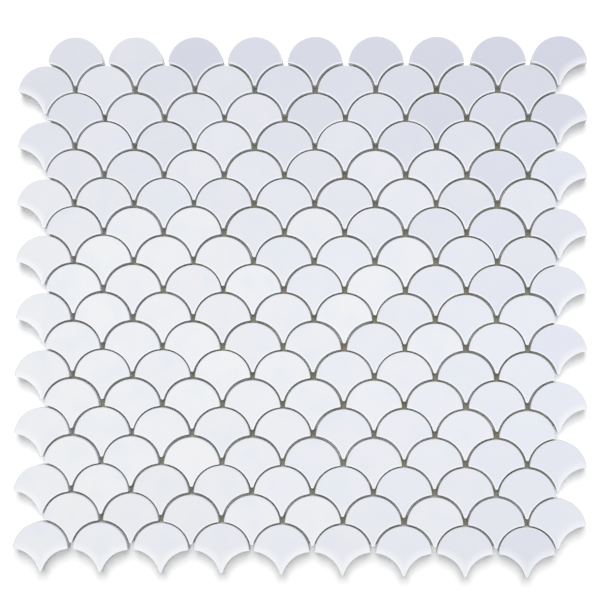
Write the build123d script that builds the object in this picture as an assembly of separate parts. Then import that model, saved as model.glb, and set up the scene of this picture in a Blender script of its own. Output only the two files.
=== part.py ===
"""Marble mosaic sheet: rows of fan-shaped (fish-scale) tiles on a trimmed mesh backing.

Millimetres. The sheet lies flat with its polished face up: +X runs along the rows, +Y points
to the round tops of the tiles, and the origin is under the middle of the sheet, on its back.
"""
from build123d import *
from random import Random
import os

# Layout of the sheet: every second row is set half a pitch to the side
ROWS = 18
COLUMNS = 9
TILE_PITCH = 32.0
ROW_PITCH = 15.15

# One tile: a round top, two hollow flanks and a blunt tail between them
TILE_RADIUS = 14.75
TAIL_DROP = 11.3
TILE_THICKNESS = 9.0
JOINT = 1.1

# The sheet is laid by hand: each tile wanders and turns a little, down to the least joint
LEAST_JOINT = 0.6
TURN_WANDER = 0.4
LAYING_SEED = 7

# Glass-fibre mesh bedded in adhesive, trimmed back from the outer edge of the tiles
BACKING_THICKNESS = 0.5
BACKING_TRIM = 0.5


def fan_face(trim=0.0):
    """One tile's outline about the centre of its round top, trimmed back all round.

    The flanks are arcs about the centres of the two tiles that nest below it,
    one joint wider than those tiles.
    """
    round_top = TILE_RADIUS - trim
    tail_drop = TAIL_DROP - trim
    above_tail = Rectangle(2 * round_top, round_top + tail_drop)
    fan = Circle(round_top) & Pos(0, (round_top - tail_drop) / 2) * above_tail
    nested_tile = Circle(TILE_RADIUS + JOINT + trim)
    for side in (-1, 1):
        fan -= Pos(side * TILE_PITCH / 2, -ROW_PITCH) * nested_tile
    return fan


def set_place(row, column):
    """Where a tile is meant to lie, by its row from the top and its column from the left."""
    stagger = TILE_PITCH / 4 if row % 2 == 0 else -TILE_PITCH / 4
    return Pos(
        TILE_PITCH * (column - (COLUMNS - 1) / 2) + stagger,
        ROW_PITCH * ((ROWS - 1) / 2 - row),
    )


def laid_rows():
    """Places of the tiles as laid, row by row from the top of the sheet down."""
    hand = Random(LAYING_SEED)
    most_wander = (JOINT - LEAST_JOINT) / 2
    rows = []
    for row in range(ROWS):
        places = []
        for column in range(COLUMNS):
            direction = hand.uniform(0, 360)
            wander = hand.uniform(most_wander / 2, most_wander)
            shift = Vector(wander, 0).rotate(Axis.Z, direction)
            turn = hand.uniform(-TURN_WANDER, TURN_WANDER)
            places.append(set_place(row, column) * Pos(shift) * Rot(0, 0, turn))
        rows.append(places)
    return rows


def backing_face(rows):
    """The mesh's outline: a square middle, and a lobe under each tile of the outer edge."""
    # The middle ends at the tiles that are set further in, and between the outer two rows
    half_width = TILE_PITCH * (COLUMNS - 1.5) / 2 + TILE_RADIUS - BACKING_TRIM
    top = set_place(0, 0).position.Y
    bottom = set_place(ROWS - 2, 0).position.Y - TAIL_DROP + BACKING_TRIM
    middle = Pos(0, (top + bottom) / 2) * Rectangle(2 * half_width, top - bottom)
    edge_places = rows[0] + rows[-1]
    edge_places += [row[0] for row in rows[1:-1:2]]
    edge_places += [row[-1] for row in rows[2:-1:2]]
    lobe = fan_face(BACKING_TRIM)
    return middle + [place * lobe for place in edge_places]


rows = laid_rows()
tile = extrude(fan_face(), TILE_THICKNESS)
tile_rows = [Compound([place * tile for place in row]) for row in rows]
backing = extrude(backing_face(rows), BACKING_THICKNESS)

# The laid sheet is brought over the origin, its backing on the ground
sheet_middle = Compound(tile_rows).bounding_box().center()
on_ground = Pos(-sheet_middle.X, -sheet_middle.Y)
on_backing = on_ground * Pos(0, 0, BACKING_THICKNESS)

os.makedirs("parts", exist_ok=True)
export_step(on_ground * backing, "parts/mesh_backing.step")
for number, tile_row in enumerate(tile_rows, start=1):
    export_step(on_backing * tile_row, f"parts/tile_row_{number:02d}.step")
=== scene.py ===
"""Marble mosaic sheet: polished fan-shaped tiles on a mesh backing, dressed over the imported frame.

Metres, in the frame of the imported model: the sheet lies flat on z = 0, +X runs along its rows
and +Y points to the round tops of its tiles.
"""
from __future__ import annotations

import logging
import math
import random
from dataclasses import dataclass
from enum import Enum
from typing import Any, Callable, Iterable

import bpy
from mathutils import Euler, Matrix, Vector, noise
from mathutils.kdtree import KDTree

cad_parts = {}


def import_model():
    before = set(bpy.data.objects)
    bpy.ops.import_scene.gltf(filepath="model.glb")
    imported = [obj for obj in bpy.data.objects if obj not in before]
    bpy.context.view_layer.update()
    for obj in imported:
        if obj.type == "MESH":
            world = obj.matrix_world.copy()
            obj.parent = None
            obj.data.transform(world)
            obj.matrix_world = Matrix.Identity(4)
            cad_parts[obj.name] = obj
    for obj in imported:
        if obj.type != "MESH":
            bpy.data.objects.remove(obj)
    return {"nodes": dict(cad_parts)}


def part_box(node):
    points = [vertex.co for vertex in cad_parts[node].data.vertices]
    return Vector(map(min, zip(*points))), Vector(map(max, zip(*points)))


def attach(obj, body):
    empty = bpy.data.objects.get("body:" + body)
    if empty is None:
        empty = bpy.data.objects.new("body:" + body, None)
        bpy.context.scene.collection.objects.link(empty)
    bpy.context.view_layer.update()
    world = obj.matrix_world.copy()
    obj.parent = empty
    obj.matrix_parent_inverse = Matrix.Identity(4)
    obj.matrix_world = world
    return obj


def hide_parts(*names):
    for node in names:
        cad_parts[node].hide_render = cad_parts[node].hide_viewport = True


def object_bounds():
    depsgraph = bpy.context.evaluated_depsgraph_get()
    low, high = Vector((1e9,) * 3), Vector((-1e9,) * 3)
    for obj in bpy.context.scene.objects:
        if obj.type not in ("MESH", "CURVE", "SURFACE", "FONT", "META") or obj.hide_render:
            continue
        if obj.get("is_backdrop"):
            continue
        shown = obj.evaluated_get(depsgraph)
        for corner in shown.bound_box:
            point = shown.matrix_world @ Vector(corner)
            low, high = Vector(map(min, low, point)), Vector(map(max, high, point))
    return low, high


log = logging.getLogger("mosaic")

MM = 0.001
BODY = "root"
SLAB_SEED = 11

# Corners this close are one corner, edges this short are slivers, faces this level are one face
WELD = 0.001 * MM
SLIVER = 0.01 * MM
FLAT = math.radians(1)


class Slot(Enum):
    """The record's material slots."""

    MARBLE = "marble"
    MESH = "mesh"


class Facet(Enum):
    """What a face of a tile is, as the value of its facet attribute."""

    POLISHED = 0.0
    ROUND_ARRIS = 0.4
    FLANK_ARRIS = 0.6
    SAWN = 1.0


class Flank(Enum):
    """The two flanks of a tile, as the attribute that notes whether one is bare."""

    LEFT = "left_bare"
    RIGHT = "right_bare"


class Run(Enum):
    """The two ways that the yarns of the mesh run, by the axis that they follow."""

    WEFT = 0
    WARP = 1


class Cut(Enum):
    """The two ways to cut a mesh with another."""

    AWAY = "DIFFERENCE"
    TO_SHAPE = "INTERSECT"


def linear(colour: str) -> tuple[float, float, float, float]:
    """Turn an sRGB hex colour into a linear one.

    Args:
        colour: The colour as "#rrggbb".

    Returns:
        Red, green, blue and full alpha, linear.
    """
    shares = [int(colour[at : at + 2], 16) / 255 for at in (1, 3, 5)]
    bent = [s / 12.92 if s <= 0.04045 else ((s + 0.055) / 1.055) ** 2.4 for s in shares]
    return (*bent, 1.0)


def per_metre(size_mm: float) -> float:
    """Pattern scale, in repeats to the metre, of a feature of that size in millimetres."""
    return 1 / (size_mm * MM)


def add_node(tree: bpy.types.NodeTree, kind: str, settings: dict[str | int, Any] | None = None,
             **links: bpy.types.NodeSocket) -> bpy.types.Node:
    """Add a node to a tree, set it up and link its inputs.

    A Mix node of colours takes them on inputs 6 and 7 and gives their mix on output 2.

    Args:
        tree: The node tree.
        kind: The node's type name, without the leading "ShaderNode".
        settings: Properties of the node by name, or values of its inputs by name or number.
        **links: Output sockets by the input that they feed: its name with _ for a space, or _
            and its number.

    Returns:
        The new node.
    """
    node = tree.nodes.new("ShaderNode" + kind)
    for name, value in (settings or {}).items():
        if isinstance(name, str) and hasattr(node, name):
            setattr(node, name, value)
        else:
            node.inputs[name].default_value = value
    for name, socket in links.items():
        key = int(name[1:]) if name[1:].isdigit() else name.replace("_", " ")
        tree.links.new(socket, node.inputs[key])
    return node


def new_material(name: str) -> tuple[bpy.types.Material, bpy.types.NodeTree]:
    """Make an empty node material and return it with its tree."""
    material = bpy.data.materials.new(name)
    material.use_nodes = True
    material.node_tree.nodes.clear()
    return material, material.node_tree


def select_only(*objects: bpy.types.Object) -> None:
    """Select these objects and no others, the first of them active."""
    bpy.ops.object.select_all(action="DESELECT")
    for piece in objects:
        piece.select_set(True)
    bpy.context.view_layer.objects.active = objects[0]


def edit_all(piece: bpy.types.Object, *actions: Callable[[], Any]) -> None:
    """Run edit-mode operators on a whole mesh, one after another."""
    select_only(piece)
    bpy.ops.object.mode_set(mode="EDIT")
    for action in actions:
        bpy.ops.mesh.select_all(action="SELECT")
        action()
    bpy.ops.object.mode_set(mode="OBJECT")


def edit_edges(piece: bpy.types.Object, wanted: Callable[[Vector, Vector], bool],
               action: Callable[[], Any]) -> None:
    """Run an edit-mode operator on the edges that a test picks.

    Args:
        piece: The mesh object.
        wanted: A test on an edge's two ends.
        action: The operator call.
    """
    select_only(piece)
    bpy.ops.object.mode_set(mode="EDIT")
    bpy.ops.mesh.select_mode(type="EDGE")
    bpy.ops.mesh.select_all(action="DESELECT")
    bpy.ops.object.mode_set(mode="OBJECT")
    ends = piece.data.vertices
    for edge in piece.data.edges:
        edge.select = wanted(*(ends[at].co for at in edge.vertices))
    bpy.ops.object.mode_set(mode="EDIT")
    action()
    bpy.ops.object.mode_set(mode="OBJECT")


def copy_piece(piece: bpy.types.Object, name: str, place: Matrix | None = None) -> bpy.types.Object:
    """Copy a piece with a mesh of its own.

    Args:
        piece: The mesh object.
        name: The copy's name.
        place: Where the copy's mesh goes, if it moves.

    Returns:
        The copy, which is in the scene and not hidden.
    """
    copy = bpy.data.objects.new(name, piece.data.copy())
    bpy.context.scene.collection.objects.link(copy)
    if place is not None:
        copy.data.transform(place)
    return copy


def welded_copy(node: bpy.types.Object, name: str) -> bpy.types.Object:
    """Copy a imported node's loose triangles as one mesh with flat faces."""
    copy = copy_piece(node, name)
    edit_all(copy, lambda: bpy.ops.mesh.remove_doubles(threshold=WELD),
             lambda: bpy.ops.mesh.dissolve_limited(angle_limit=FLAT))
    return copy


def join(pieces: list[bpy.types.Object], name: str) -> bpy.types.Object:
    """Join pieces into one mesh of that name."""
    select_only(*pieces)
    bpy.ops.object.join()
    joined = bpy.context.object
    joined.name = name
    return joined


def cut(piece: bpy.types.Object, cutter: bpy.types.Object, way: Cut) -> None:
    """Cut a mesh with another, and delete the cutter."""
    select_only(piece)
    modifier = piece.modifiers.new("cut", "BOOLEAN")
    modifier.operation = way.value
    modifier.solver = "EXACT"
    modifier.object = cutter
    bpy.ops.object.modifier_apply(modifier=modifier.name)
    bpy.data.objects.remove(cutter)


def put_on_body(piece: bpy.types.Object, slot: Slot, material: bpy.types.Material,
                *replaced: str) -> None:
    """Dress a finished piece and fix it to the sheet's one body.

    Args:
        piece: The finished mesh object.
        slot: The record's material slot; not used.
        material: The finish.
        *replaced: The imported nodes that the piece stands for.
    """
    piece.data.materials.clear()
    piece.data.materials.append(material)
    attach(piece, BODY)
    if replaced:
        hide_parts(*replaced)
    log.info("%s: %d faces", piece.name, len(piece.data.polygons))


@dataclass(frozen=True)
class PolishedMarble:
    """White marble, cut to shape by water jet and polished on the face.

    The polish gives a soft even sheen over faint cool clouds. Each tile comes from another place
    of the slab, so its tone and tint differ a little, and painted shade greys the tiles towards the
    top and bottom rows, most at the right. The ground arris has painted shade round the top and a
    painted highlight along the hollow flanks. A fainter painted highlight lies on the face beside
    them, further in where a flank is bare at the edge of the sheet. The cut walls are matt, with
    the fine upright streaks that the jet leaves.
    """

    white: str = "#ededef"
    cloud: str = "#e6eaef"
    blue: str = "#dce0ee"
    # Each tile's random tone, and painted shade towards the top and bottom rows
    grey_and_painted_shade: str = "#cccedb"
    # Painted shade on the round-top arris, painted highlight on the flank arris and on the face
    # beside the flanks
    round_arris_shade: str = "#dcdde1"
    highlight_white: str = "#fafbfd"
    sawn: str = "#f3f5f9"
    streak: str = "#e9ebf0"
    cloud_mm: float = 12.0
    cloudy_noise: tuple[float, float] = (0.42, 0.72)
    # Painted highlight beside the hollow flanks: how far in it reaches, and how strong it is
    flank_highlight_mm: float = 1.3
    bare_flank_highlight_mm: float = 5.0
    flank_highlight_share: float = 0.5
    streak_mm: float = 0.7
    streak_length: float = 14.0
    streak_depth: float = 0.03 * MM
    roughness: float = 0.3
    sawn_roughness: float = 0.75
    ior: float = 1.52
    facet_slack: float = 0.1

    def material(self, tile: FanTile) -> bpy.types.Material:
        """Make the stone's material for a tile of that shape."""
        material, tree = new_material("polished_white_marble")
        slab = add_node(tree, "Attribute", {"attribute_name": "slab_place"}).outputs["Vector"]
        facet = add_node(tree, "Attribute", {"attribute_name": "facet"}).outputs["Fac"]
        is_ground, is_flank, is_sawn = (
            add_node(tree, "Math", {"operation": "GREATER_THAN", 1: kind.value - self.facet_slack},
                     _0=facet)
            for kind in (Facet.ROUND_ARRIS, Facet.FLANK_ARRIS, Facet.SAWN))

        upright = add_node(tree, "Mapping", {"Scale": (1, 1, 1 / self.streak_length)}, Vector=slab)
        streaks = add_node(tree, "TexNoise", {"Scale": per_metre(self.streak_mm), "Detail": 2.0},
                           Vector=upright.outputs[0])
        walls = add_node(tree, "Mix", {"data_type": "RGBA", 6: linear(self.streak),
                                       7: linear(self.sawn)}, Factor=streaks.outputs["Fac"])
        # Painted shade on the round-top arris, painted highlight on the flank arris
        arris = add_node(tree, "Mix", {"data_type": "RGBA", 6: linear(self.round_arris_shade),
                                       7: linear(self.highlight_white)}, Factor=is_flank.outputs[0])
        edges = add_node(tree, "Mix", {"data_type": "RGBA"}, Factor=is_sawn.outputs[0],
                         _6=arris.outputs[2], _7=walls.outputs[2])
        colour = add_node(tree, "Mix", {"data_type": "RGBA"}, Factor=is_ground.outputs[0],
                          _6=self._face_colour(tree, slab, tile), _7=edges.outputs[2])
        relief = add_node(tree, "Bump", {"Distance": self.streak_depth},
                          Strength=is_sawn.outputs[0], Height=streaks.outputs["Fac"])
        gloss = add_node(tree, "MapRange", {"To Min": self.roughness,
                                            "To Max": self.sawn_roughness}, Value=facet)
        shader = add_node(tree, "BsdfPrincipled", {"IOR": self.ior},
                          Base_Color=colour.outputs[2], Roughness=gloss.outputs[0],
                          Normal=relief.outputs[0])
        add_node(tree, "OutputMaterial", Surface=shader.outputs[0])
        return material

    def _face_colour(self, tree: bpy.types.NodeTree, slab: bpy.types.NodeSocket,
                     tile: FanTile) -> bpy.types.NodeSocket:
        """Colour of the polished face: clouds, each tile's own tint and tone with painted shade, and
        a painted highlight by the flanks.
        """
        tone = add_node(tree, "Attribute", {"attribute_name": "tone_and_painted_shade"}).outputs["Fac"]
        tint = add_node(tree, "Attribute", {"attribute_name": "tile_tint"}).outputs["Fac"]
        clouds = add_node(tree, "TexNoise", {"Scale": per_metre(self.cloud_mm), "Detail": 3.0,
                                             "Roughness": 0.45}, Vector=slab)
        clear, full = self.cloudy_noise
        cloudy = add_node(tree, "MapRange", {"From Min": clear, "From Max": full},
                          Value=clouds.outputs["Fac"])
        stone = add_node(tree, "Mix", {"data_type": "RGBA", 6: linear(self.white),
                                       7: linear(self.cloud)}, Factor=cloudy.outputs[0])
        tinted = add_node(tree, "Mix", {"data_type": "RGBA", 7: linear(self.blue)},
                          Factor=tint, _6=stone.outputs[2])
        # Each tile's random tone, with painted shade towards the top and bottom rows
        toned_and_shaded = add_node(tree, "Mix", {"data_type": "RGBA", 7: linear(self.grey_and_painted_shade)},
                         Factor=tone, _6=tinted.outputs[2])
        # Painted highlight on the face beside the hollow flanks
        highlighted = add_node(tree, "Mix", {"data_type": "RGBA", 7: linear(self.highlight_white)},
                           Factor=self._flank_highlight(tree, tile), _6=toned_and_shaded.outputs[2])
        return highlighted.outputs[2]

    def _flank_highlight(self, tree: bpy.types.NodeTree, tile: FanTile) -> bpy.types.NodeSocket:
        """How much painted highlight the face takes: most at the two hollow flanks, fading inwards.
        """
        place = add_node(tree, "Attribute", {"attribute_name": "tile_place"}).outputs["Vector"]
        in_tile = add_node(tree, "SeparateXYZ", None, Vector=place).outputs
        across = add_node(tree, "Math", {"operation": "ABSOLUTE"}, _0=in_tile["X"])
        folded = add_node(tree, "CombineXYZ", None, X=across.outputs[0], Y=in_tile["Y"])
        from_centre = add_node(tree, "VectorMath", {"operation": "DISTANCE", 1: tile.flank_centre},
                               _0=folded.outputs[0])
        is_right = add_node(tree, "Math", {"operation": "GREATER_THAN", 1: 0.0}, _0=in_tile["X"])
        left, right = (add_node(tree, "Attribute", {"attribute_name": flank.value}).outputs["Fac"]
                       for flank in Flank)
        bare = add_node(tree, "Mix", None, Factor=is_right.outputs[0], A=left, B=right)
        edge = tile.flank_radius
        inmost = add_node(tree, "MapRange", {"To Min": edge + self.flank_highlight_mm * MM,
                                             "To Max": edge + self.bare_flank_highlight_mm * MM},
                          Value=bare.outputs["Result"])
        fading = add_node(tree, "MapRange", {"interpolation_type": "SMOOTHSTEP", "From Min": edge,
                                             "To Min": self.flank_highlight_share, "To Max": 0.0},
                          Value=from_centre.outputs["Value"], From_Max=inmost.outputs[0])
        return fading.outputs[0]


@dataclass(frozen=True)
class KhakiAdhesive:
    """Tile adhesive pressed up between the tiles: matt, grainy, and stained brown in places.

    In the narrow joints it is paler in places: painted light that stands in for the lit white walls
    of the stone seen there.
    """

    khaki: str = "#949281"
    brown: str = "#898271"
    pale: str = "#a7a59b"
    # Painted light: the paler colour of the narrow joints, standing in for the lit white walls of
    # the stone
    painted_joint_light: str = "#d8d8d7"
    patch_mm: float = 30.0
    patch_noise: tuple[float, float] = (0.35, 0.6)
    least_joint_light: float = 0.55
    stain_mm: float = 9.0
    stain_noise: tuple[float, float] = (0.42, 0.66)
    grain_mm: float = 0.5
    grit_noise: tuple[float, float] = (0.55, 0.8)
    grain_depth: float = 0.06 * MM
    roughness: float = 0.85
    ior: float = 1.5

    def material(self) -> bpy.types.Material:
        """Make the adhesive's material."""
        material, tree = new_material("khaki_tile_adhesive")
        place = add_node(tree, "TexCoord").outputs["Object"]
        stains = add_node(tree, "TexNoise", {"Scale": per_metre(self.stain_mm), "Detail": 3.0},
                          Vector=place)
        clear, full = self.stain_noise
        stained = add_node(tree, "MapRange", {"From Min": clear, "From Max": full},
                           Value=stains.outputs["Fac"])
        body = add_node(tree, "Mix", {"data_type": "RGBA", 6: linear(self.khaki),
                                      7: linear(self.brown)}, Factor=stained.outputs[0])
        grain = add_node(tree, "TexNoise", {"Scale": per_metre(self.grain_mm), "Detail": 2.0},
                         Vector=place)
        clear, full = self.grit_noise
        gritty = add_node(tree, "MapRange", {"From Min": clear, "From Max": full},
                          Value=grain.outputs["Fac"])
        film = add_node(tree, "Mix", {"data_type": "RGBA", 7: linear(self.pale)},
                        Factor=gritty.outputs[0], _6=body.outputs[2])
        # Painted light in the narrow joints, uneven in places
        joint_light_share = add_node(tree, "Attribute", {"attribute_name": "painted_joint_light"}).outputs["Fac"]
        patch_pattern = add_node(tree, "TexNoise", {"Scale": per_metre(self.patch_mm), "Detail": 2.0},
                          Vector=place)
        clear, full = self.patch_noise
        patch_share = add_node(tree, "MapRange", {"From Min": clear, "From Max": full,
                                              "To Min": self.least_joint_light, "To Max": 1.0},
                           Value=patch_pattern.outputs["Fac"])
        joint_lit = add_node(tree, "Math", {"operation": "MULTIPLY"}, _0=joint_light_share, _1=patch_share.outputs[0])
        colour = add_node(tree, "Mix", {"data_type": "RGBA", 7: linear(self.painted_joint_light)},
                          Factor=joint_lit.outputs[0], _6=film.outputs[2])
        relief = add_node(tree, "Bump", {"Distance": self.grain_depth},
                          Height=grain.outputs["Fac"])
        shader = add_node(tree, "BsdfPrincipled", {"IOR": self.ior, "Roughness": self.roughness},
                          Base_Color=colour.outputs[2], Normal=relief.outputs[0])
        add_node(tree, "OutputMaterial", Surface=shader.outputs[0])
        return material


@dataclass(frozen=True)
class GlassYarn:
    """Sized glass-fibre yarn: white, with a silky sheen along its fine filaments.

    The filaments are drawn far coarser than real ones, so that they show.
    """

    white: str = "#f1f2ee"
    shade: str = "#d5d7d0"
    filament_mm: float = 0.12
    filament_length: float = 40.0
    filament_depth: float = 0.02 * MM
    roughness: float = 0.45
    ior: float = 1.55

    def material(self, run: Run) -> bpy.types.Material:
        """Make the yarn's material, with its filaments along that run."""
        material, tree = new_material(f"glass_fibre_{run.name.lower()}")
        place = add_node(tree, "TexCoord").outputs["Object"]
        stretch = [1.0, 1.0, 1.0]
        stretch[run.value] = 1 / self.filament_length
        along = add_node(tree, "Mapping", {"Scale": stretch}, Vector=place)
        filaments = add_node(tree, "TexNoise", {"Scale": per_metre(self.filament_mm),
                                                "Detail": 1.0}, Vector=along.outputs[0])
        colour = add_node(tree, "Mix", {"data_type": "RGBA", 6: linear(self.shade),
                                        7: linear(self.white)}, Factor=filaments.outputs["Fac"])
        relief = add_node(tree, "Bump", {"Distance": self.filament_depth},
                          Height=filaments.outputs["Fac"])
        shader = add_node(tree, "BsdfPrincipled", {"IOR": self.ior, "Roughness": self.roughness},
                          Base_Color=colour.outputs[2], Normal=relief.outputs[0])
        add_node(tree, "OutputMaterial", Surface=shader.outputs[0])
        return material


@dataclass
class FanTile:
    """One tile: a round top, two hollow flanks and a blunt tail, with a ground arris."""

    bottom: float
    top: float
    radius: float = 14.75 * MM
    joint: float = 1.1 * MM
    pitch: float = 32.0 * MM
    row_pitch: float = 15.15 * MM
    tail_drop: float = 11.3 * MM
    arris_width: float = 0.42 * MM
    arris_drop: float = 0.08 * MM
    corner: float = 0.35 * MM
    segments: int = 48
    smooth_below: float = math.radians(9)
    level_normal: float = 0.999
    upright_normal: float = 0.05

    @property
    def flank_centre(self) -> tuple[float, float, float]:
        """Centre of the right flank's hollow, which the tile below on that side shares."""
        return self.pitch / 2, -self.row_pitch, 0.0

    @property
    def pockets(self) -> list[Vector]:
        """Middles of the two pockets beside the tile, under the tails of the row above."""
        tail_above = self.row_pitch - self.tail_drop
        return [Vector((side * self.pitch / 2, tail_above / 2, 0)) for side in (-1, 1)]

    @property
    def flank_radius(self) -> float:
        """Radius of a flank's hollow: the tile below and the joint around it."""
        return self.radius + self.joint

    @property
    def shave(self) -> float:
        """How far the outline is cut back, so that flanks made of flats stay inside their arcs."""
        return self.flank_radius * (1 / math.cos(math.pi / self.segments) - 1)

    def model_blank(self, top: float) -> bpy.types.Object:
        """Model the tile as it is cut, about the centre of its round top.

        Its arcs are runs of short flats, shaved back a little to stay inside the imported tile.

        Args:
            top: How high it reaches.

        Returns:
            The tile with all its edges sharp.
        """
        thickness = top - self.bottom
        middle = (top + self.bottom) / 2
        bpy.ops.object.select_all(action="DESELECT")
        bpy.ops.mesh.primitive_cylinder_add(vertices=self.segments, radius=self.radius - self.shave,
                                            depth=thickness, location=(0, 0, middle))
        tile = bpy.context.object
        tile.name = "fan_tile"
        across, along, _ = self.flank_centre
        for side in (-1, 1):
            bpy.ops.mesh.primitive_cylinder_add(
                vertices=self.segments, radius=self.flank_radius + self.shave,
                depth=2 * thickness, location=(side * across, along, middle))
            cut(tile, bpy.context.object, Cut.AWAY)
        select_only(tile)
        bpy.ops.object.transform_apply(location=True, rotation=True, scale=True)
        edit_all(tile,
                 lambda: bpy.ops.mesh.bisect(plane_co=(0, self.shave - self.tail_drop, 0),
                                             plane_no=(0, -1, 0), use_fill=True, clear_outer=True),
                 lambda: bpy.ops.mesh.remove_doubles(threshold=SLIVER))
        return tile

    def model(self) -> bpy.types.Object:
        """Model the finished tile that the laid ones are copied from."""
        tile = self.model_blank(self.top - self.arris_drop)
        self._soften_edges(tile)
        self._mark_facets(tile)
        return tile

    def _soften_edges(self, tile: bpy.types.Object) -> None:
        """Blunt the upright corners a little and grind the arris round the polished face."""
        close = 0.02 * MM
        widest = max(corner.co.x for corner in tile.data.vertices)
        lowest = min(corner.co.y for corner in tile.data.vertices)
        rim = max(corner.co.z for corner in tile.data.vertices)

        def upright_corner(one: Vector, other: Vector) -> bool:
            """Whether an edge is an upright one at a side corner or at the tail."""
            upright = abs(one.z - other.z) > (rim - self.bottom) / 2
            at_side = abs(one.x) > widest - close
            at_tail = one.y < lowest + close
            return upright and (at_side or at_tail)

        def top_rim(one: Vector, other: Vector) -> bool:
            """Whether an edge runs round the top."""
            return min(one.z, other.z) > rim - close

        def grind() -> None:
            """Inset the top and raise it, which leaves the arris around it."""
            bpy.ops.mesh.select_mode(type="FACE")
            bpy.ops.mesh.inset(thickness=self.arris_width, depth=self.arris_drop)

        edit_edges(tile, upright_corner,
                   lambda: bpy.ops.mesh.bevel(offset=self.corner, segments=1, affect="EDGES"))
        edit_all(tile, lambda: bpy.ops.mesh.remove_doubles(threshold=SLIVER))
        edit_edges(tile, top_rim, grind)
        select_only(tile)
        bpy.ops.object.shade_smooth_by_angle(angle=self.smooth_below)

    def _mark_facets(self, tile: bpy.types.Object) -> None:
        """Note on each face whether it is polished, ground or sawn."""
        marks = tile.data.attributes.new("facet", "FLOAT", "FACE")
        for face, mark in zip(tile.data.polygons, marks.data):
            if face.normal.z > self.level_normal:
                mark.value = Facet.POLISHED.value
            elif face.normal.z < self.upright_normal:
                mark.value = Facet.SAWN.value
            # Arris faces are split by the way they face, for the painted shade on the round top and
            # the painted highlight on the flanks
            elif face.normal.y > 0:
                mark.value = Facet.ROUND_ARRIS.value
            else:
                mark.value = Facet.FLANK_ARRIS.value


def laid_places(node: bpy.types.Object) -> list[Matrix]:
    """Find where the tiles of a packed row lie.

    Args:
        node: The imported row, one solid for each tile.

    Returns:
        For each tile from left to right, the place of its round top's centre, and its turn.
    """
    laid = welded_copy(node, "laid_row")
    edit_all(laid, lambda: bpy.ops.mesh.separate(type="LOOSE"))
    places = []
    for solid in list(bpy.context.selected_objects):
        outline = [corner.co.xy for corner in solid.data.vertices]
        left = min(outline, key=lambda at: at.x)
        right = max(outline, key=lambda at: at.x)
        apex = max(outline, key=lambda at: at.y)
        centre = circle_centre(left, apex, right)
        turn = math.atan2(right.y - left.y, right.x - left.x)
        places.append(Matrix.Translation((*centre, 0)) @ Matrix.Rotation(turn, 4, "Z"))
        bpy.data.objects.remove(solid)
    return sorted(places, key=lambda place: place.translation.x)


def circle_centre(one: Vector, two: Vector, three: Vector) -> tuple[float, float]:
    """Centre of the circle through three points of a plane."""
    across, along = two - one, three - one
    twice_area = 2 * (across.x * along.y - across.y * along.x)
    x = (along.y * across.length_squared - across.y * along.length_squared) / twice_area
    y = (across.x * along.length_squared - along.x * across.length_squared) / twice_area
    return one.x + x, one.y + y


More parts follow.
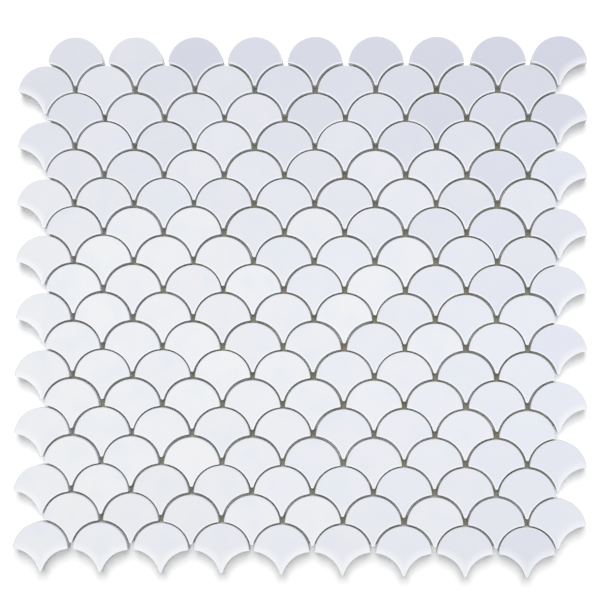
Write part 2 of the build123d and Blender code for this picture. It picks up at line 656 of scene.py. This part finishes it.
@dataclass
class TileRow:
    """One row of laid tiles, each cut from its own place of the slab.

    places are where its own tiles lie, laid is where all those of the sheet do, and reach is the
    sheet's upper right corner.
    """

    node_name: str
    pattern: FanTile
    places: list[Matrix]
    laid: list[Matrix]
    reach: Vector
    slab_reach: float = 2.0
    # Painted shade: tiles turn greyer going up or down from the best-lit row, more so to the right
    best_lit: float = -0.36
    painted_shade_to_ends: float = 0.55
    painted_shade_lean: float = 0.3
    tint_to_right: float = 0.155
    least_wander: float = 0.4
    tone_wander: float = 0.15
    tint_wander: float = 0.25

    def build(self, tile: bpy.types.Object, slab: random.Random) -> bpy.types.Object:
        """Copy the tile to its places and join the row.

        Args:
            tile: The tile to copy.
            slab: Draws each tile's place in the slab, its tone and its tint.

        Returns:
            The row as one mesh.
        """
        copies = []
        for place in self.places:
            copy = copy_piece(tile, "laid_tile")
            across, up = place.translation.x / self.reach.x, place.translation.y / self.reach.y
            self._cut_from_slab(copy.data, slab, across, up)
            self._note_bare_flanks(copy.data, place)
            copy.data.transform(place)
            copies.append(copy)
        return join(copies, self.node_name.replace("tile", "marble"))

    def _cut_from_slab(self, mesh: bpy.types.Mesh, slab: random.Random, across: float,
                       up: float) -> None:
        """Note on a tile where in the slab it was cut, its tone and its painted shade.

        Painted shade turns the sheet greyer to its top and bottom rows, most at the right, where it
        is also bluer. Its best-lit tiles are also the most alike.

        Args:
            mesh: The tile's own mesh, not yet laid.
            slab: Draws the values.
            across: The tile's place across the sheet, from -1 at the left to 1 at the right.
            up: Its place up the sheet, from -1 at the bottom to 1 at the top.
        """
        spot = Vector([slab.uniform(-self.slab_reach, self.slab_reach) for _ in range(3)])
        turn = Euler((0, 0, slab.uniform(0, 2 * math.pi))).to_matrix()
        in_tile = mesh.attributes.new("tile_place", "FLOAT_VECTOR", "POINT")
        for corner, note in zip(mesh.vertices, in_tile.data):
            note.vector = corner.co
        in_slab = mesh.attributes.new("slab_place", "FLOAT_VECTOR", "POINT")
        for corner, note in zip(mesh.vertices, in_slab.data):
            note.vector = turn @ corner.co + spot
        from_best_lit = abs(up - self.best_lit)
        wander = self.least_wander + (1 - self.least_wander) * from_best_lit
        # Painted shade towards the ends of the sheet, then the tile's own random tone
        tone = self.painted_shade_to_ends * from_best_lit ** 2 * (1 + self.painted_shade_lean * across)
        tone += wander * slab.uniform(-self.tone_wander, self.tone_wander)
        tint = self.tint_to_right * (1 + across) ** 2
        tint += wander * slab.uniform(-self.tint_wander, self.tint_wander)
        for name, value in (("tone_and_painted_shade", tone), ("tile_tint", tint)):
            notes = mesh.attributes.new(name, "FLOAT", "FACE")
            for note in notes.data:
                note.value = max(0.0, value)

    def _note_bare_flanks(self, mesh: bpy.types.Mesh, place: Matrix) -> None:
        """Note on a tile which of its flanks are bare, with no tile of the sheet below them.

        Args:
            mesh: The tile's own mesh.
            place: Where the tile is laid.
        """
        across, along, _ = self.pattern.flank_centre
        for flank, side in ((Flank.LEFT, -1), (Flank.RIGHT, 1)):
            below = place @ Vector((side * across, along, 0))
            nearest = min((below - other.translation).length for other in self.laid)
            notes = mesh.attributes.new(flank.value, "FLOAT", "FACE")
            for note in notes.data:
                note.value = float(nearest > self.pattern.radius)


@dataclass
class MeshBacking:
    """Woven glass-fibre mesh under the tiles, and the adhesive that it is bedded in.

    The adhesive is a film over the backs of the tiles, pressed up part of the way between them.
    """

    node: bpy.types.Object
    bedding: float = 0.28 * MM
    ridge: float = 1.4 * MM
    ripple: float = 0.6 * MM
    ripple_length: float = 11.0 * MM
    # Painted light on the adhesive: none this near the pockets, full from the second reach on
    unpainted_reach: float = 2.2 * MM
    painted_reach: float = 4.5 * MM
    yarn_pitch: float = 5.0 * MM
    yarn_width: float = 0.9 * MM
    yarn_thickness: float = 0.2 * MM
    yarn_sides: int = 6
    smooth_below: float = math.radians(40)
    trim_depth: float = 1.0 * MM

    def build_bed(self, blank: bpy.types.Object, places: list[Matrix],
                  pockets: list[Vector]) -> bpy.types.Object:
        """Press the adhesive up between the laid tiles.

        Args:
            blank: A tile with sharp edges.
            places: Where the tiles lie.
            pockets: Where the wide pockets lie beside a tile.

        Returns:
            The adhesive as one mesh.
        """
        bed = self._slab("adhesive_bed", self.bedding, self.ridge)
        cutter = join([copy_piece(blank, "tile_print", place) for place in places], "tile_prints")
        cut(bed, cutter, Cut.AWAY)
        edit_all(bed, lambda: bpy.ops.mesh.remove_doubles(threshold=WELD),
                 lambda: bpy.ops.mesh.quads_convert_to_tris(ngon_method="BEAUTY"))
        for corner in bed.data.vertices:
            if corner.co.z > self.ridge - WELD:
                corner.co.z += self.ripple * noise.noise(corner.co / self.ripple_length)
        self._paint_joint_light(bed, [place @ at for place in places for at in pockets])
        return bed

    def _paint_joint_light(self, bed: bpy.types.Object, pockets: list[Vector]) -> None:
        """Note where the adhesive takes its painted light: none below and near the pockets, full in
        the joints.

        Args:
            bed: The adhesive.
            pockets: Where the tile of one row stands between two of the next.
        """
        tree = KDTree(len(pockets))
        for number, pocket in enumerate(pockets):
            tree.insert((pocket.x, pocket.y, 0), number)
        tree.balance()
        notes = bed.data.attributes.new("painted_joint_light", "FLOAT", "POINT")
        for corner, note in zip(bed.data.vertices, notes.data):
            _, _, away = tree.find((corner.co.x, corner.co.y, 0))
            share = (away - self.unpainted_reach) / (self.painted_reach - self.unpainted_reach)
            is_below = corner.co.z < self.bedding + WELD
            note.value = 0.0 if is_below else min(1.0, max(0.0, share))

    def build_yarns(self, run: Run) -> bpy.types.Object:
        """Weave the yarns of one run and trim them to the outline of the backing."""
        low, high = (Vector(corner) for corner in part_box(self.node.name))
        along, across = run.value, 1 - run.value
        crossings = math.ceil(high[along] / self.yarn_pitch) + 1
        reach = math.floor(high[across] / self.yarn_pitch)
        yarn = self._model_yarn(run, crossings)
        copies = []
        for number in range(-reach, reach + 1):
            shift = Vector((0, 0, 0))
            shift[across] = number * self.yarn_pitch
            shift[along] = number % 2 * self.yarn_pitch
            copies.append(copy_piece(yarn, "yarn", Matrix.Translation(shift)))
        bpy.data.objects.remove(yarn)
        yarns = join(copies, f"{run.name.lower()}_yarns")
        trim_line = self._slab("trim_line", low.z - self.trim_depth, high.z + self.trim_depth)
        cut(yarns, trim_line, Cut.TO_SHAPE)
        select_only(yarns)
        bpy.ops.object.shade_smooth_by_angle(angle=self.smooth_below)
        return yarns

    def _slab(self, name: str, bottom: float, top: float) -> bpy.types.Object:
        """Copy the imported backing's outline as a slab between two heights."""
        slab = welded_copy(self.node, name)
        middle = sum(corner.co.z for corner in slab.data.vertices) / len(slab.data.vertices)
        for corner in slab.data.vertices:
            corner.co.z = top if corner.co.z > middle else bottom
        return slab

    def _model_yarn(self, run: Run, crossings: int) -> bpy.types.Object:
        """Model one yarn that goes under and over at its crossings, past both ends.

        Args:
            run: The way that it runs.
            crossings: How many yarns it crosses to each side of the middle.

        Returns:
            The yarn, through the middle of the sheet.
        """
        step = Vector((0, 0, 0))
        step[run.value] = self.yarn_pitch
        lift = Vector((0, 0, self.yarn_thickness))
        # The two runs pass the same crossing one under and one over
        under = (crossings + run.value) % 2 == 0
        start = -crossings * step + lift * (0.5 if under else 1.5)
        facing = (math.pi / 2, 0, math.pi / 2 if run is Run.WEFT else 0)
        bpy.ops.object.select_all(action="DESELECT")
        bpy.ops.mesh.primitive_circle_add(vertices=self.yarn_sides, radius=self.yarn_width / 2,
                                          fill_type="NGON", location=start, rotation=facing)
        yarn = bpy.context.object
        bpy.ops.object.transform_apply(location=True, rotation=True, scale=True)
        bpy.ops.object.mode_set(mode="EDIT")
        bpy.ops.mesh.select_all(action="SELECT")
        bpy.ops.transform.resize(value=(1, 1, self.yarn_thickness / self.yarn_width),
                                 center_override=start)
        for crossing in range(2 * crossings):
            goes_up = under == (crossing % 2 == 0)
            move = step + lift if goes_up else step - lift
            bpy.ops.mesh.extrude_region_move(TRANSFORM_OT_translate={"value": move})
        bpy.ops.mesh.select_all(action="SELECT")
        bpy.ops.mesh.normals_make_consistent(inside=False)
        bpy.ops.object.mode_set(mode="OBJECT")
        return yarn


@dataclass
class Studio:
    """A white floor, soft light from above and a camera nearly straight over the sheet.

    The long key box reaches from overhead to well beyond the top of the sheet, so soft shadows
    lie under the lower edges. The small fill box hangs by the camera, which hides its shadows.
    """

    camera_height: float = 0.88
    camera_foot: tuple[float, float] = (0.0470, -0.0245)
    frame_centre: tuple[float, float] = (0.00065, 0.0023)
    frame_width: float = 0.3161
    roll: float = math.radians(0.4)
    key_place: tuple[float, float, float] = (0.0, 2.5, 4.34)
    key_size: tuple[float, float] = (3.2, 3.65)
    key_watts: float = 242.0
    fill_size: tuple[float, float] = (0.12, 0.12)
    fill_watts: float = 1.65
    ambient: float = 0.135
    near_glow: float = 0.1
    far_glow: float = 1.0
    glow_from: float = 0.25
    glow_to: float = 1.2
    floor_white: str = "#f8f8f8"
    floor_size: float = 8.0
    sensor_mm: float = 36.0
    far_clip: float = 50.0

    def set_floor(self) -> None:
        """Lay a white floor that keeps the sheet's shadow and fades into the backdrop."""
        bpy.ops.object.select_all(action="DESELECT")
        bpy.ops.mesh.primitive_plane_add(size=self.floor_size)
        floor = bpy.context.object
        floor.name = "studio_floor"
        material, tree = new_material("white_floor")
        # The glow is only seen and lights nothing, so no light samples go to it
        material.cycles.emission_sampling = "NONE"
        shader = add_node(tree, "BsdfDiffuse", {"Color": linear(self.floor_white)})
        dark = add_node(tree, "Emission", {"Strength": 0.0})
        place = add_node(tree, "TexCoord").outputs["Object"]
        away = add_node(tree, "VectorMath", {"operation": "LENGTH"}, _0=place)
        fading = add_node(tree, "MapRange",
                          {"From Min": self.glow_from, "From Max": self.glow_to,
                           "To Min": self.near_glow, "To Max": self.far_glow},
                          Value=away.outputs["Value"])
        glow = add_node(tree, "Emission", None, Strength=fading.outputs[0])
        shown = add_node(tree, "MixShader", None, Fac=self._shown_rays(tree), _1=dark.outputs[0],
                         _2=glow.outputs[0])
        both = add_node(tree, "AddShader", None, _0=shader.outputs[0], _1=shown.outputs[0])
        add_node(tree, "OutputMaterial", Surface=both.outputs[0])
        floor.data.materials.append(material)
        floor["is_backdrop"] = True

    def set_world(self) -> None:
        """Fill the room with even white light, behind a white backdrop."""
        world = bpy.data.worlds.new("studio")
        world.use_nodes = True
        tree = world.node_tree
        tree.nodes.clear()
        room = add_node(tree, "Background", {"Strength": self.ambient})
        backdrop = add_node(tree, "Background", {"Strength": 1.0})
        shown = add_node(tree, "MixShader", None, Fac=self._shown_rays(tree), _1=room.outputs[0],
                         _2=backdrop.outputs[0])
        add_node(tree, "OutputWorld", Surface=shown.outputs[0])
        bpy.context.scene.world = world

    def _shown_rays(self, tree: bpy.types.NodeTree) -> bpy.types.NodeSocket:
        """Which rays see the backdrop: the camera's, and those off gloss and through glass."""
        rays = add_node(tree, "LightPath").outputs
        seen = add_node(tree, "Math", {"operation": "MAXIMUM"}, _0=rays["Is Camera Ray"],
                        _1=rays["Is Glossy Ray"])
        seen = add_node(tree, "Math", {"operation": "MAXIMUM"}, _0=seen.outputs[0],
                        _1=rays["Is Transmission Ray"])
        return seen.outputs[0]

    def set_lamps(self) -> None:
        """Hang the key box over the top of the sheet and the fill box by the camera."""
        self._hang_box("key_box", Vector(self.key_place), self.key_size, self.key_watts,
                       target=Vector((0, 0, 0)))
        self._hang_box("fill_box", Vector((*self.camera_foot, self.camera_height)), self.fill_size,
                       self.fill_watts, target=Vector((*self.camera_foot, 0)))

    def _hang_box(self, name: str, place: Vector, size: tuple[float, float], watts: float,
                  target: Vector) -> None:
        """Hang a soft box.

        Args:
            name: The lamp's name.
            place: Where it hangs.
            size: Its sides, along the rows and across them.
            watts: Its power.
            target: The point that it faces.
        """
        lamp = bpy.data.lights.new(name, "AREA")
        lamp.shape = "RECTANGLE"
        lamp.size, lamp.size_y = size
        lamp.energy = watts
        holder = bpy.data.objects.new(name, lamp)
        holder.location = place
        holder.rotation_euler = (target - place).to_track_quat("-Z", "Y").to_euler()
        holder.visible_camera = False
        holder.visible_glossy = False
        bpy.context.scene.collection.objects.link(holder)

    def set_camera(self, face: float) -> None:
        """Hang the camera over the sheet, rolled as a hand holds it.

        Args:
            face: Height of the polished face, which fills the frame.
        """
        eye = Vector((*self.camera_foot, self.camera_height))
        target = Vector((*self.frame_centre, face))
        camera = bpy.data.cameras.new("camera")
        camera.sensor_width = self.sensor_mm
        camera.lens = camera.sensor_width * (target - eye).length / self.frame_width
        camera.clip_end = self.far_clip
        backward = (eye - target).normalized()
        level = Vector((0, 1, 0)).cross(backward).normalized()
        right = Matrix.Rotation(self.roll, 3, backward) @ level
        upward = backward.cross(right)
        holder = bpy.data.objects.new("camera", camera)
        holder.location = eye
        holder.rotation_euler = Matrix((right, upward, backward)).transposed().to_euler()
        bpy.context.scene.collection.objects.link(holder)
        bpy.context.scene.camera = holder


def plain_box(bounds: Iterable[Iterable[float]]) -> list[list[float]]:
    """A box as plain lists of numbers."""
    return [[float(value) for value in corner] for corner in bounds]


def main() -> None:
    """Build the sheet over its frame, and the studio around it."""
    logging.basicConfig(level=logging.INFO, format="%(message)s")
    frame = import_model()
    packed_box = plain_box(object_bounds())
    bpy.context.scene.view_settings.view_transform = "Standard"
    row_names = sorted(name for name in frame["nodes"] if name.startswith("tile_row_"))
    low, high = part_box(row_names[0])
    places = {name: laid_places(frame["nodes"][name]) for name in row_names}
    laid = [place for name in row_names for place in places[name]]

    pattern = FanTile(bottom=low.z, top=high.z)
    tile = pattern.model()
    marble = PolishedMarble().material(pattern)
    slab = random.Random(SLAB_SEED)
    for name in row_names:
        row = TileRow(name, pattern, places[name], laid, reach=Vector(packed_box[1]))
        put_on_body(row.build(tile, slab), Slot.MARBLE, marble, name)
    bpy.data.objects.remove(tile)

    backing = MeshBacking(frame["nodes"]["mesh_backing"])
    blank = pattern.model_blank(pattern.top)
    bed = backing.build_bed(blank, laid, pattern.pockets)
    bpy.data.objects.remove(blank)
    put_on_body(bed, Slot.MESH, KhakiAdhesive().material(), "mesh_backing")
    for run in Run:
        put_on_body(backing.build_yarns(run), Slot.MESH, GlassYarn().material(run))

    studio = Studio()
    studio.set_floor()
    studio.set_world()
    studio.set_lamps()
    studio.set_camera(face=high.z)


if __name__ == "__main__":
    main()
